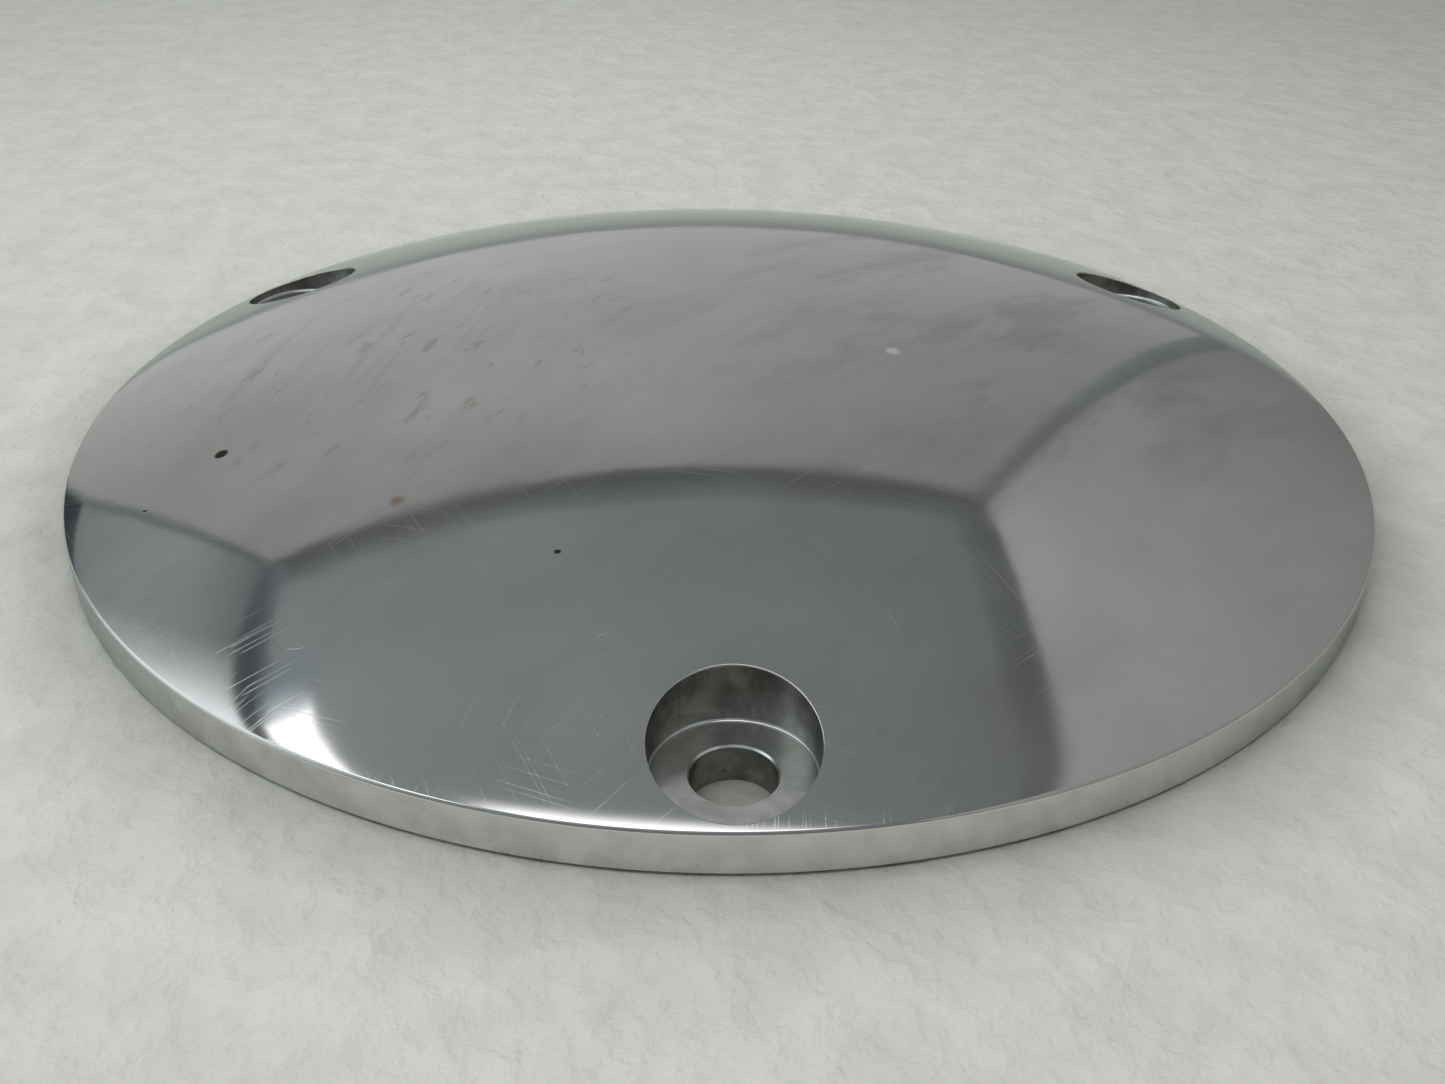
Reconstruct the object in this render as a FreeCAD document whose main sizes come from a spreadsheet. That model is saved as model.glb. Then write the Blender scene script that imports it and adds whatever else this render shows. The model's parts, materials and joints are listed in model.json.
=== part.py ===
# A domed round inspection cover for an engine's clutch housing, with the seal ring in its back.
# Millimetres throughout. The origin is the centre of the flat mounting face, +Z points out
# through the dome, and the first of the three screw holes lies on -Y.
import FreeCAD, Part
import math
import os

import Sketcher

# alias, value, what it is
DRIVING_SIZES = [
    ("cover_diameter", 133.0, "outside diameter, across the vertical band"),
    ("cover_height", 16.1, "mounting face to the top of the dome"),
    ("rim_height", 3.75, "mounting face to the sharp edge at the top of the band"),
    ("dome_radius", 189.0, "spherical radius of the outside"),
    ("edge_roll_radius", 0.4, "where buffing has rolled the dome over, just inside the edge"),
    ("base_chamfer", 0.3, "broken edge at the foot of the band"),
    ("wall_thickness", 3.2, "metal between the dome and the hollow"),
    ("cavity_diameter", 93.0, "hollow that clears the clutch behind the cover"),
    ("cavity_corner", 3.0, "fillet between the hollow's side and its ceiling"),
    ("cavity_chamfer", 0.6, "broken edge at the hollow's mouth"),
    ("screw_circle_diameter", 118.4, "pitch circle of the screws"),
    ("screw_hole_diameter", 6.7, "clearance for a 1/4 inch or M6 screw"),
    ("screw_hole_chamfer", 0.15, "broken edge where the seat meets the hole"),
    ("seat_height", 3.3, "mounting face to the flat that the screw head bears on"),
    ("counterbore_diameter", 13.1, "room for the screw head"),
    ("counterbore_corner", 0.2, "corner left by the cutter round the seat"),
    ("groove_centre_diameter", 101.4, "middle of the seal groove"),
    ("groove_width", 3.5, "seal groove, side to side"),
    ("groove_depth", 2.15, "seal groove, mounting face to floor"),
    ("seal_width", 2.97, "2.62 mm round cord once it is squeezed to the groove's depth"),
    ("screw_count", 3, "screws, evenly spaced"),
]
SIZE = {alias: value for alias, value, _ in DRIVING_SIZES}

OVERSHOOT = 1.0          # how far a cut runs past the face it opens through
FULL_TURN = 360.0

# How a constraint names a curve's points, and a sketch's own origin and axes
START, END, CENTRE = 1, 2, 3
SKETCH_ORIGIN = (-1, 1)
HORIZONTAL_AXIS = -1
VERTICAL_AXIS = -2


def make_sheet(doc):
    """The spreadsheet that every sketch takes its sizes from."""
    sheet = doc.addObject("Spreadsheet::Sheet", "sizes")
    for row, (alias, value, meaning) in enumerate(DRIVING_SIZES, start=1):
        sheet.set(f"A{row}", alias)
        sheet.set(f"B{row}", str(value))
        sheet.set(f"C{row}", meaning)
        sheet.setAlias(f"B{row}", alias)
    doc.recompute()
    return sheet


def make_body(doc, label):
    body = doc.addObject("PartDesign::Body", label)
    body.Label = label
    body.Placement = FreeCAD.Placement()
    return body


def origin_feature(body, role):
    for feature in body.Origin.OriginFeatures:
        if feature.Role == role:
            return feature
    raise RuntimeError(f"{body.Label} has no {role}")


def make_sketch(body, name, plane_role):
    """An empty sketch on one of the body's own origin planes."""
    sketch = body.newObject("Sketcher::SketchObject", name)
    sketch.AttachmentSupport = (origin_feature(body, plane_role), [""])
    sketch.MapMode = "FlatFace"
    return sketch


def add_line(sketch, start, end, construction=False):
    first = FreeCAD.Vector(start[0], start[1], 0)
    last = FreeCAD.Vector(end[0], end[1], 0)
    return sketch.addGeometry(Part.LineSegment(first, last), construction)


def add_arc(sketch, centre, radius, start_degrees, end_degrees):
    """An arc, anticlockwise from its start to its end."""
    middle = FreeCAD.Vector(centre[0], centre[1], 0)
    circle = Part.Circle(middle, FreeCAD.Vector(0, 0, 1), radius)
    arc = Part.ArcOfCircle(circle, math.radians(start_degrees), math.radians(end_degrees))
    return sketch.addGeometry(arc, False)


def relate(sketch, kind, *references):
    sketch.addConstraint(Sketcher.Constraint(kind, *references))


def join(sketch, first, second):
    """Makes two (curve, point) ends meet."""
    relate(sketch, "Coincident", *first, *second)


def chain(sketch, curves):
    """Joins lines end to start, in order, and closes the last one on the first."""
    for curve, following in zip(curves, curves[1:] + curves[:1]):
        join(sketch, (curve, END), (following, START))


def drive(sketch, name, kind, references, value, expression):
    """A named dimension that follows an expression in the sheet's aliases."""
    index = sketch.addConstraint(Sketcher.Constraint(kind, *references, value))
    sketch.renameConstraint(index, name)
    sketch.setExpression(f"Constraints.{name}", expression)


def from_origin(point):
    return (*SKETCH_ORIGIN, *point)


def add_turned(body, kind, name, sketch, axis, base=None):
    """A full Revolution, or a full Groove that has to take metal away."""
    feature = body.newObject(f"PartDesign::{kind}", name)
    feature.Profile = sketch
    feature.ReferenceAxis = (sketch, [axis])
    feature.Angle = FULL_TURN
    body.Document.recompute()
    if base is not None and feature.Shape.Volume >= base.Shape.Volume:
        raise RuntimeError(f"{name} removed nothing")
    return feature


def sketch_outside(body):
    """Half section of the outside: base, band, rolled edge and dome, closed along the axis."""
    sketch = make_sketch(body, "outside_profile", "XZ_Plane")
    rim_radius = SIZE["cover_diameter"] / 2
    chamfer = SIZE["base_chamfer"]
    roll = SIZE["edge_roll_radius"]
    dome = SIZE["dome_radius"]
    dome_centre_z = SIZE["cover_height"] - dome

    # The rolled edge touches the dome from inside, so the two centres are dome - roll apart.
    edge_angle = 1.5
    roll_centre_x = rim_radius - roll * math.cos(math.radians(edge_angle))
    touch_angle = math.degrees(math.acos(roll_centre_x / (dome - roll)))
    roll_centre_z = dome_centre_z + (dome - roll) * math.sin(math.radians(touch_angle))

    base = add_line(sketch, (0, 0), (rim_radius - chamfer, 0))
    foot = add_line(sketch, (rim_radius - chamfer, 0), (rim_radius, chamfer))
    band = add_line(sketch, (rim_radius, chamfer), (rim_radius, SIZE["rim_height"]))
    edge = add_arc(sketch, (roll_centre_x, roll_centre_z), roll, edge_angle, touch_angle)
    top = add_arc(sketch, (0, dome_centre_z), dome, touch_angle, 90)
    axis = add_line(sketch, (0, SIZE["cover_height"]), (0, 0))

    join(sketch, (base, END), (foot, START))
    join(sketch, (foot, END), (band, START))
    join(sketch, (band, END), (edge, START))
    relate(sketch, "Tangent", edge, END, top, START)
    join(sketch, (top, END), (axis, START))
    join(sketch, (axis, END), (base, START))
    join(sketch, (base, START), SKETCH_ORIGIN)
    relate(sketch, "Horizontal", base)
    relate(sketch, "Vertical", band)
    relate(sketch, "Vertical", axis)
    relate(sketch, "PointOnObject", top, CENTRE, VERTICAL_AXIS)

    drive(sketch, "foot_width", "DistanceX", (base, END, foot, END), chamfer, "sizes.base_chamfer")
    drive(sketch, "foot_height", "DistanceY", (base, END, foot, END), chamfer, "sizes.base_chamfer")
    drive(sketch, "rim_radius", "DistanceX", from_origin((band, END)), rim_radius,
          "sizes.cover_diameter / 2")
    drive(sketch, "rim_height", "DistanceY", from_origin((band, END)), SIZE["rim_height"],
          "sizes.rim_height")
    drive(sketch, "cover_height", "DistanceY", from_origin((top, END)), SIZE["cover_height"],
          "sizes.cover_height")
    drive(sketch, "roll_radius", "Radius", (edge,), roll, "sizes.edge_roll_radius")
    drive(sketch, "dome_radius", "Radius", (top,), dome, "sizes.dome_radius")
    return sketch


def sketch_cavity(body):
    """Half section of the hollow: its ceiling runs parallel to the dome."""
    sketch = make_sketch(body, "cavity_profile", "XZ_Plane")
    side_radius = SIZE["cavity_diameter"] / 2
    corner = SIZE["cavity_corner"]
    chamfer = SIZE["cavity_chamfer"]
    ceiling = SIZE["dome_radius"] - SIZE["wall_thickness"]
    ceiling_centre_z = SIZE["cover_height"] - SIZE["dome_radius"]

    # The corner touches the ceiling from inside and the upright side from within.
    corner_x = side_radius - corner
    touch_angle = math.degrees(math.acos(corner_x / (ceiling - corner)))
    corner_z = ceiling_centre_z + (ceiling - corner) * math.sin(math.radians(touch_angle))
    mouth = side_radius + chamfer

    floor = add_line(sketch, (0, -OVERSHOOT), (mouth, -OVERSHOOT))
    throat = add_line(sketch, (mouth, -OVERSHOOT), (mouth, 0))
    lip = add_line(sketch, (mouth, 0), (side_radius, chamfer))
    side = add_line(sketch, (side_radius, chamfer), (side_radius, corner_z))
    round_corner = add_arc(sketch, (corner_x, corner_z), corner, 0, touch_angle)
    roof = add_arc(sketch, (0, ceiling_centre_z), ceiling, touch_angle, 90)
    axis = add_line(sketch, (0, ceiling_centre_z + ceiling), (0, -OVERSHOOT))

    join(sketch, (floor, END), (throat, START))
    join(sketch, (throat, END), (lip, START))
    join(sketch, (lip, END), (side, START))
    relate(sketch, "Tangent", side, END, round_corner, START)
    relate(sketch, "Tangent", round_corner, END, roof, START)
    join(sketch, (roof, END), (axis, START))
    join(sketch, (axis, END), (floor, START))
    relate(sketch, "PointOnObject", floor, START, VERTICAL_AXIS)
    relate(sketch, "PointOnObject", throat, END, HORIZONTAL_AXIS)
    relate(sketch, "PointOnObject", roof, CENTRE, VERTICAL_AXIS)
    relate(sketch, "Horizontal", floor)
    relate(sketch, "Vertical", throat)
    relate(sketch, "Vertical", side)
    relate(sketch, "Vertical", axis)

    drive(sketch, "overshoot", "DistanceY", (floor, END, throat, END), OVERSHOOT, str(OVERSHOOT))
    drive(sketch, "lip_width", "DistanceX", (lip, END, lip, START), chamfer,
          "sizes.cavity_chamfer")
    drive(sketch, "lip_height", "DistanceY", (lip, START, lip, END), chamfer,
          "sizes.cavity_chamfer")
    drive(sketch, "side_radius", "DistanceX", from_origin((side, START)), side_radius,
          "sizes.cavity_diameter / 2")
    drive(sketch, "roof_height", "DistanceY", from_origin((roof, END)), ceiling_centre_z + ceiling,
          "sizes.cover_height - sizes.wall_thickness")
    drive(sketch, "corner_radius", "Radius", (round_corner,), corner, "sizes.cavity_corner")
    drive(sketch, "roof_radius", "Radius", (roof,), ceiling,
          "sizes.dome_radius - sizes.wall_thickness")
    return sketch


def sketch_seal_groove(body):
    """Half section of the square groove that holds the seal."""
    sketch = make_sketch(body, "seal_groove_profile", "XZ_Plane")
    inner = (SIZE["groove_centre_diameter"] - SIZE["groove_width"]) / 2
    outer = inner + SIZE["groove_width"]
    depth = SIZE["groove_depth"]

    open_side = add_line(sketch, (inner, -OVERSHOOT), (outer, -OVERSHOOT))
    outer_wall = add_line(sketch, (outer, -OVERSHOOT), (outer, depth))
    floor = add_line(sketch, (outer, depth), (inner, depth))
    inner_wall = add_line(sketch, (inner, depth), (inner, -OVERSHOOT))
    chain(sketch, [open_side, outer_wall, floor, inner_wall])
    for level in (open_side, floor):
        relate(sketch, "Horizontal", level)
    for upright in (outer_wall, inner_wall):
        relate(sketch, "Vertical", upright)

    drive(sketch, "inner_radius", "DistanceX", from_origin((floor, END)), inner,
          "(sizes.groove_centre_diameter - sizes.groove_width) / 2")
    drive(sketch, "width", "DistanceX", (floor, END, floor, START), SIZE["groove_width"],
          "sizes.groove_width")
    drive(sketch, "depth", "DistanceY", from_origin((floor, END)), depth, "sizes.groove_depth")
    drive(sketch, "overshoot", "DistanceY", (*(open_side, START), *SKETCH_ORIGIN), OVERSHOOT,
          str(OVERSHOOT))
    return sketch


def sketch_screw_hole(body):
    """Half section of one counterbored hole. Its first line is the screw's own axis."""
    sketch = make_sketch(body, "screw_hole_profile", "YZ_Plane")
    axis_y = -SIZE["screw_circle_diameter"] / 2
    hole = axis_y + SIZE["screw_hole_diameter"] / 2
    bore = axis_y + SIZE["counterbore_diameter"] / 2
    break_size = SIZE["screw_hole_chamfer"]
    corner = SIZE["counterbore_corner"]
    seat = SIZE["seat_height"]
    top = SIZE["cover_height"]

    spindle = add_line(sketch, (axis_y, -OVERSHOOT), (axis_y, top), construction=True)
    foot = add_line(sketch, (axis_y, -OVERSHOOT), (hole, -OVERSHOOT))
    hole_wall = add_line(sketch, (hole, -OVERSHOOT), (hole, seat - break_size))
    hole_break = add_line(sketch, (hole, seat - break_size), (hole + break_size, seat))
    seat_face = add_line(sketch, (hole + break_size, seat), (bore - corner, seat))
    fillet = add_arc(sketch, (bore - corner, seat + corner), corner, -90, 0)
    bore_wall = add_line(sketch, (bore, seat + corner), (bore, top))
    lid = add_line(sketch, (bore, top), (axis_y, top))
    back = add_line(sketch, (axis_y, top), (axis_y, -OVERSHOOT))

    join(sketch, (foot, END), (hole_wall, START))
    join(sketch, (hole_wall, END), (hole_break, START))
    join(sketch, (hole_break, END), (seat_face, START))
    relate(sketch, "Tangent", seat_face, END, fillet, START)
    relate(sketch, "Tangent", fillet, END, bore_wall, START)
    join(sketch, (bore_wall, END), (lid, START))
    join(sketch, (lid, END), (back, START))
    join(sketch, (back, END), (foot, START))
    join(sketch, (spindle, START), (foot, START))
    join(sketch, (spindle, END), (lid, END))
    for level in (foot, seat_face, lid):
        relate(sketch, "Horizontal", level)
    for upright in (spindle, hole_wall, bore_wall):
        relate(sketch, "Vertical", upright)

    drive(sketch, "axis_distance", "DistanceX", (*(foot, START), *SKETCH_ORIGIN), -axis_y,
          "sizes.screw_circle_diameter / 2")
    drive(sketch, "hole_radius", "DistanceX", (foot, START, foot, END), hole - axis_y,
          "sizes.screw_hole_diameter / 2")
    drive(sketch, "bore_radius", "DistanceX", (lid, END, lid, START), bore - axis_y,
          "sizes.counterbore_diameter / 2")
    drive(sketch, "break_width", "DistanceX", (hole_break, START, hole_break, END), break_size,
          "sizes.screw_hole_chamfer")
    drive(sketch, "break_height", "DistanceY", (hole_break, START, hole_break, END), break_size,
          "sizes.screw_hole_chamfer")
    drive(sketch, "seat_height", "DistanceY", from_origin((seat_face, START)), seat,
          "sizes.seat_height")
    drive(sketch, "corner_radius", "Radius", (fillet,), corner, "sizes.counterbore_corner")
    drive(sketch, "top", "DistanceY", from_origin((lid, END)), top, "sizes.cover_height")
    drive(sketch, "overshoot", "DistanceY", (*(foot, START), *SKETCH_ORIGIN), OVERSHOOT,
          str(OVERSHOOT))
    return sketch


def make_cover(doc):
    """The turned and polished aluminium cover, one piece of metal."""
    body = make_body(doc, "cover")
    blank = add_turned(body, "Revolution", "blank", sketch_outside(body), "V_Axis")
    cavity = add_turned(body, "Groove", "cavity", sketch_cavity(body), "V_Axis", blank)
    groove = add_turned(body, "Groove", "seal_groove", sketch_seal_groove(body), "V_Axis", cavity)
    hole = add_turned(body, "Groove", "screw_hole", sketch_screw_hole(body), "Axis0", groove)

    holes = body.newObject("PartDesign::PolarPattern", "screw_holes")
    holes.Originals = [hole]
    holes.Axis = (origin_feature(body, "Z_Axis"), [""])
    holes.Angle = FULL_TURN
    holes.setExpression("Occurrences", "sizes.screw_count")
    body.Tip = holes
    doc.recompute()
    one_hole = groove.Shape.Volume - hole.Shape.Volume
    all_holes = groove.Shape.Volume - holes.Shape.Volume
    if abs(all_holes - SIZE["screw_count"] * one_hole) > 0.01 * one_hole:
        raise RuntimeError("the screw holes aren't all there")
    return body


def make_seal_ring(doc):
    """The rubber ring, squeezed flat to the groove's depth as it is when the cover is screwed on."""
    body = make_body(doc, "seal_ring")
    sketch = make_sketch(body, "seal_section", "XZ_Plane")
    half_height = SIZE["groove_depth"] / 2
    middle = SIZE["groove_centre_diameter"] / 2
    half_flat = SIZE["seal_width"] / 2 - half_height

    low = add_line(sketch, (middle - half_flat, 0), (middle + half_flat, 0))
    outer = add_arc(sketch, (middle + half_flat, half_height), half_height, -90, 90)
    high = add_line(sketch, (middle + half_flat, 2 * half_height),
                    (middle - half_flat, 2 * half_height))
    inner = add_arc(sketch, (middle - half_flat, half_height), half_height, 90, 270)
    for curve, following in ((low, outer), (outer, high), (high, inner), (inner, low)):
        relate(sketch, "Tangent", curve, END, following, START)
    relate(sketch, "Horizontal", low)
    relate(sketch, "Equal", outer, inner)
    relate(sketch, "PointOnObject", low, START, HORIZONTAL_AXIS)
    drive(sketch, "end_radius", "Radius", (outer,), half_height, "sizes.groove_depth / 2")
    drive(sketch, "flat", "DistanceX", (low, START, low, END), 2 * half_flat,
          "sizes.seal_width - sizes.groove_depth")
    drive(sketch, "inner_flat", "DistanceX", from_origin((low, START)), middle - half_flat,
          "(sizes.groove_centre_diameter - sizes.seal_width + sizes.groove_depth) / 2")
    add_turned(body, "Revolution", "ring", sketch, "V_Axis")
    return body


def check_document(doc, bodies):
    """Stops on a failed object, a loose sketch or a bad solid, before anything is written."""
    for thing in doc.Objects:
        if "Invalid" in thing.State or "Error" in thing.State:
            raise RuntimeError(f"{thing.Label} failed: {thing.State}")
        if thing.isDerivedFrom("Sketcher::SketchObject") and not thing.FullyConstrained:
            raise RuntimeError(f"{thing.Label} isn't fully constrained")
    for body in bodies:
        shape = body.Shape
        if shape.isNull() or not shape.isValid() or len(shape.Solids) != 1:
            raise RuntimeError(f"{body.Label} isn't one valid solid")


def main():
    doc = FreeCAD.newDocument("clutch_inspection_cover")
    make_sheet(doc)
    bodies = [make_cover(doc), make_seal_ring(doc)]
    doc.recompute()
    check_document(doc, bodies)
    os.makedirs("parts", exist_ok=True)
    for body in bodies:
        body.Shape.exportStep(f"parts/{body.Label}.step")
        box = body.Shape.optimalBoundingBox()
        print(f"{body.Label}: {body.Shape.Volume:.1f} mm3, "
              f"{box.XLength:.2f} x {box.YLength:.2f} x {box.ZLength:.2f} mm")


main()
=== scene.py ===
# The looks of the domed clutch inspection cover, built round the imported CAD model.
# Shapes are worked out in millimetres and written to Blender in metres.
import json
import math

import bpy
import numpy as np
from mathutils import Matrix, Vector
from mathutils.geometry import delaunay_2d_cdt


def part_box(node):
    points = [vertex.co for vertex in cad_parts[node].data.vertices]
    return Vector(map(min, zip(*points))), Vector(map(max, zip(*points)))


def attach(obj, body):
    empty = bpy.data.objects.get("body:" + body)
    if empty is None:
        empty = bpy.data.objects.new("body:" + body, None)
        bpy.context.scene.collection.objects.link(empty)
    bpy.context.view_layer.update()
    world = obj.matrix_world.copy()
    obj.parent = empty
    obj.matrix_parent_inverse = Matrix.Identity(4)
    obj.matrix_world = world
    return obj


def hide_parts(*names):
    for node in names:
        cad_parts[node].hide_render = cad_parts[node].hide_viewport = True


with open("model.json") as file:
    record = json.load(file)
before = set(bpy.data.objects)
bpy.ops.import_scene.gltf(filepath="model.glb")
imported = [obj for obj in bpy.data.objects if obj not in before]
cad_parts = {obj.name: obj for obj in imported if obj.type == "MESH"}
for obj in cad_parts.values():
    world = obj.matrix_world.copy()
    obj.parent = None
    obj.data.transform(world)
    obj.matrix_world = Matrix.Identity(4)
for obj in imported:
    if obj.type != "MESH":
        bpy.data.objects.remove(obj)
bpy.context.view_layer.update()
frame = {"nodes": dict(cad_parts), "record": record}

MM = 0.001


# ---------------------------------------------------------------- sizes
def mount(name):
    return next(m for m in frame["record"]["mounts"] if m["name"] == name)


def cad_radii(node):
    """Distances from the cover's axis of a CAD node's points, in millimetres."""
    points = np.array([v.co for v in frame["nodes"][node].data.vertices])
    return np.hypot(points[:, 0], points[:, 1]) / MM


SCREWS = mount("screw_circle")["dims"]
RIM_RADIUS = float(cad_radii("cover").max())
COVER_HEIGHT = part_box("cover")[1].z / MM
SCREW_CIRCLE = SCREWS["pcd_mm"] / 2
HOLE_RADIUS = SCREWS["hole_r_mm"]
HOLE_ANGLES = [math.radians(-90 + 360 * i / SCREWS["count"]) for i in range(SCREWS["count"])]
HOLE_CENTRES = [SCREW_CIRCLE * np.array([math.cos(a), math.sin(a)]) for a in HOLE_ANGLES]

RIM_HEIGHT = 3.75
DOME_RADIUS = 189.0
ROLL_RADIUS = 0.4
BASE_CHAMFER = 0.3
WALL = 3.2
CAVITY_RADIUS = 46.5
CAVITY_CORNER = 3.0
CAVITY_CHAMFER = 0.6
HOLE_BREAK = 0.15
SEAT_HEIGHT = 3.3
BORE_RADIUS = 6.55
BORE_CORNER = 0.2
MOUTH_BREAK = 0.09
GROOVE_MIDDLE = 50.7
GROOVE_WIDTH = 3.5
GROOVE_DEPTH = 2.15
SEAL_WIDTH = 2.97
SHOULDER_START = 62.0    # from here out the buffing wheel has tipped the surface a little
SHOULDER_TILT = math.radians(2.5)

GROOVE_OUTER = GROOVE_MIDDLE + GROOVE_WIDTH / 2
GROOVE_INNER = GROOVE_MIDDLE - GROOVE_WIDTH / 2

AROUND = 480             # points round each full circle of the cover
AROUND_HOLE = 96         # points round each screw hole


# ---------------------------------------------------------------- profiles
def meeting(centre_a, radius_a, centre_b, radius_b):
    """The upper right crossing of two circles."""
    a = np.array(centre_a, float)
    b = np.array(centre_b, float)
    gap = np.linalg.norm(b - a)
    along = (radius_a ** 2 - radius_b ** 2 + gap ** 2) / (2 * gap)
    aside = math.sqrt(radius_a ** 2 - along ** 2)
    forward = (b - a) / gap
    left = np.array([-forward[1], forward[0]])
    choices = [a + along * forward + sign * aside * left for sign in (-1, 1)]
    return min(choices, key=lambda point: point[0])


DOME_CENTRE = COVER_HEIGHT - DOME_RADIUS
ROLL_X, ROLL_Z = meeting((0, DOME_CENTRE), DOME_RADIUS - ROLL_RADIUS,
                         (RIM_RADIUS, RIM_HEIGHT), ROLL_RADIUS)
ROLL_START = DOME_RADIUS * ROLL_X / (DOME_RADIUS - ROLL_RADIUS)
CEILING_RADIUS = DOME_RADIUS - WALL
CEILING_CORNER_X = CAVITY_RADIUS - CAVITY_CORNER
CEILING_CORNER_Z = DOME_CENTRE + math.sqrt((CEILING_RADIUS - CAVITY_CORNER) ** 2
                                           - CEILING_CORNER_X ** 2)
CEILING_EDGE = CEILING_RADIUS * CEILING_CORNER_X / (CEILING_RADIUS - CAVITY_CORNER)


def top_height(plan):
    """Height of the outside, dome and rolled edge, above each point of the plan."""
    radius = np.hypot(plan[:, 0], plan[:, 1])
    dome = DOME_CENTRE + np.sqrt(DOME_RADIUS ** 2 - radius ** 2)
    roll = ROLL_Z + np.sqrt(np.maximum(ROLL_RADIUS ** 2 - (radius - ROLL_X) ** 2, 0))
    return np.where(radius <= ROLL_START, dome, roll)


def ceiling_height(plan):
    return DOME_CENTRE + np.sqrt(CEILING_RADIUS ** 2 - (plan ** 2).sum(1))


# ---------------------------------------------------------------- exact normals
def unit(vectors):
    return vectors / np.maximum(np.linalg.norm(vectors, axis=1, keepdims=True), 1e-12)


def outward(points, centre=(0.0, 0.0)):
    """Unit vectors in plan, away from an upright axis."""
    flat = np.zeros_like(points)
    flat[:, :2] = points[:, :2] - np.array(centre)
    return unit(flat)


def tilted(points, across, up, centre=(0.0, 0.0)):
    """Normals made of a share away from the axis and a share upwards."""
    normals = outward(points, centre) * np.reshape(across, (-1, 1))
    normals[:, 2] += up
    return unit(normals)


def top_normals(points):
    """The dome's normals, tipped outwards over its shoulder, and the rolled edge's."""
    radius = np.hypot(points[:, 0], points[:, 1])
    dome_tilt = np.arcsin(np.minimum(radius, ROLL_START) / DOME_RADIUS)
    roll_tilt = np.arcsin(np.clip((radius - ROLL_X) / ROLL_RADIUS, 0, 1))
    shoulder = np.clip((radius - SHOULDER_START) / (ROLL_START - SHOULDER_START), 0, 1) ** 3
    fade = np.clip((RIM_RADIUS - radius) / (RIM_RADIUS - ROLL_START), 0, 1)
    tilt = np.where(radius <= ROLL_START, dome_tilt, roll_tilt) + SHOULDER_TILT * shoulder * fade
    return tilted(points, np.sin(tilt), np.cos(tilt))


def ceiling_normals(points):
    return unit(np.array([0, 0, DOME_CENTRE]) - points)


# ---------------------------------------------------------------- mesh building
class Shell:
    """Gathers surfaces, sews them along shared points and keeps each one's exact normals."""

    def __init__(self):
        self.points = []
        self.index = {}
        self.faces = []
        self.surface_of_face = []
        self.surfaces = []

    def surface(self, normals, finish):
        """Starts a surface: the rule for its normals, and the material it has."""
        self.surfaces.append((normals, finish))

    def number(self, point):
        key = tuple(np.round(point, 5))
        if key not in self.index:
            self.index[key] = len(self.points)
            self.points.append(tuple(float(x) for x in point))
        return self.index[key]

    def face(self, corners):
        numbers = [self.number(corner) for corner in corners]
        if len(set(numbers)) == len(numbers):
            self.faces.append(numbers)
            self.surface_of_face.append(len(self.surfaces) - 1)

    def strip(self, first, second):
        """Quads between two closed rows of points that run the same way round."""
        count = len(first)
        for i in range(count):
            j = (i + 1) % count
            self.face([first[i], first[j], second[j], second[i]])

    def rows(self, rows):
        for first, second in zip(rows, rows[1:]):
            self.strip(first, second)

    def mesh(self, name, materials):
        mesh = bpy.data.meshes.new(name)
        points = np.array(self.points)
        mesh.from_pydata((points * MM).tolist(), [], self.faces)
        for material in materials:
            mesh.materials.append(material)
        finishes = [material.name for material in materials]
        surface_of_face = np.array(self.surface_of_face)
        slots = np.array([finishes.index(finish) for _, finish in self.surfaces])
        mesh.polygons.foreach_set("material_index", slots[surface_of_face])
        mesh.polygons.foreach_set("use_smooth", np.ones(len(self.faces), bool))

        corner_points = np.zeros(len(mesh.loops), int)
        mesh.loops.foreach_get("vertex_index", corner_points)
        sides = np.array([len(face) for face in self.faces])
        corner_surfaces = np.repeat(surface_of_face, sides)
        normals = np.zeros((len(mesh.loops), 3))
        for number, (rule, _) in enumerate(self.surfaces):
            chosen = corner_surfaces == number
            normals[chosen] = rule(points[corner_points[chosen]])
        mesh.normals_split_custom_set(normals.tolist())
        mesh.update()
        return mesh


def circle(radius, count, height=None, centre=(0.0, 0.0)):
    """Points round a circle, in plan, or at a height when one is given."""
    turn = 2 * math.pi * np.arange(count) / count
    plan = np.stack([centre[0] + radius * np.cos(turn), centre[1] + radius * np.sin(turn)], 1)
    if height is None:
        return plan
    return np.column_stack([plan, np.full(count, height)])


def filling(outer, holes, inner_points, keep_off):
    """Triangles in plan inside the outer ring and outside the hole rings."""
    rings = [outer] + holes
    clear = np.ones(len(inner_points), bool)
    for ring, gap in zip(rings, keep_off):
        for start in range(0, len(ring), 64):
            block = ring[start:start + 64]
            apart = np.linalg.norm(inner_points[:, None] - block[None], axis=2)
            clear &= apart.min(1) > gap
    for ring in holes:
        middle = ring.mean(0)
        reach = np.linalg.norm(ring[0] - middle)
        clear &= np.linalg.norm(inner_points - middle, axis=1) > reach
    points = np.concatenate(rings + [inner_points[clear]])
    edges = []
    start = 0
    for ring in rings:
        size = len(ring)
        edges += [(start + i, start + (i + 1) % size) for i in range(size)]
        start += size
    found = delaunay_2d_cdt([Vector(p) for p in points], edges, [], 0, 1e-6)
    sources = [origin[0] for origin in found[3]]
    triangles = np.array([[sources[i] for i in face] for face in found[2]])
    middles = points[triangles].mean(1)
    inside = np.hypot(middles[:, 0], middles[:, 1]) < np.hypot(*outer[0])
    for ring in holes:
        middle = ring.mean(0)
        reach = np.linalg.norm(ring[0] - middle) * math.cos(math.pi / len(ring))
        inside &= np.linalg.norm(middles - middle, axis=1) > reach
    return points, triangles[inside]


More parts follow.
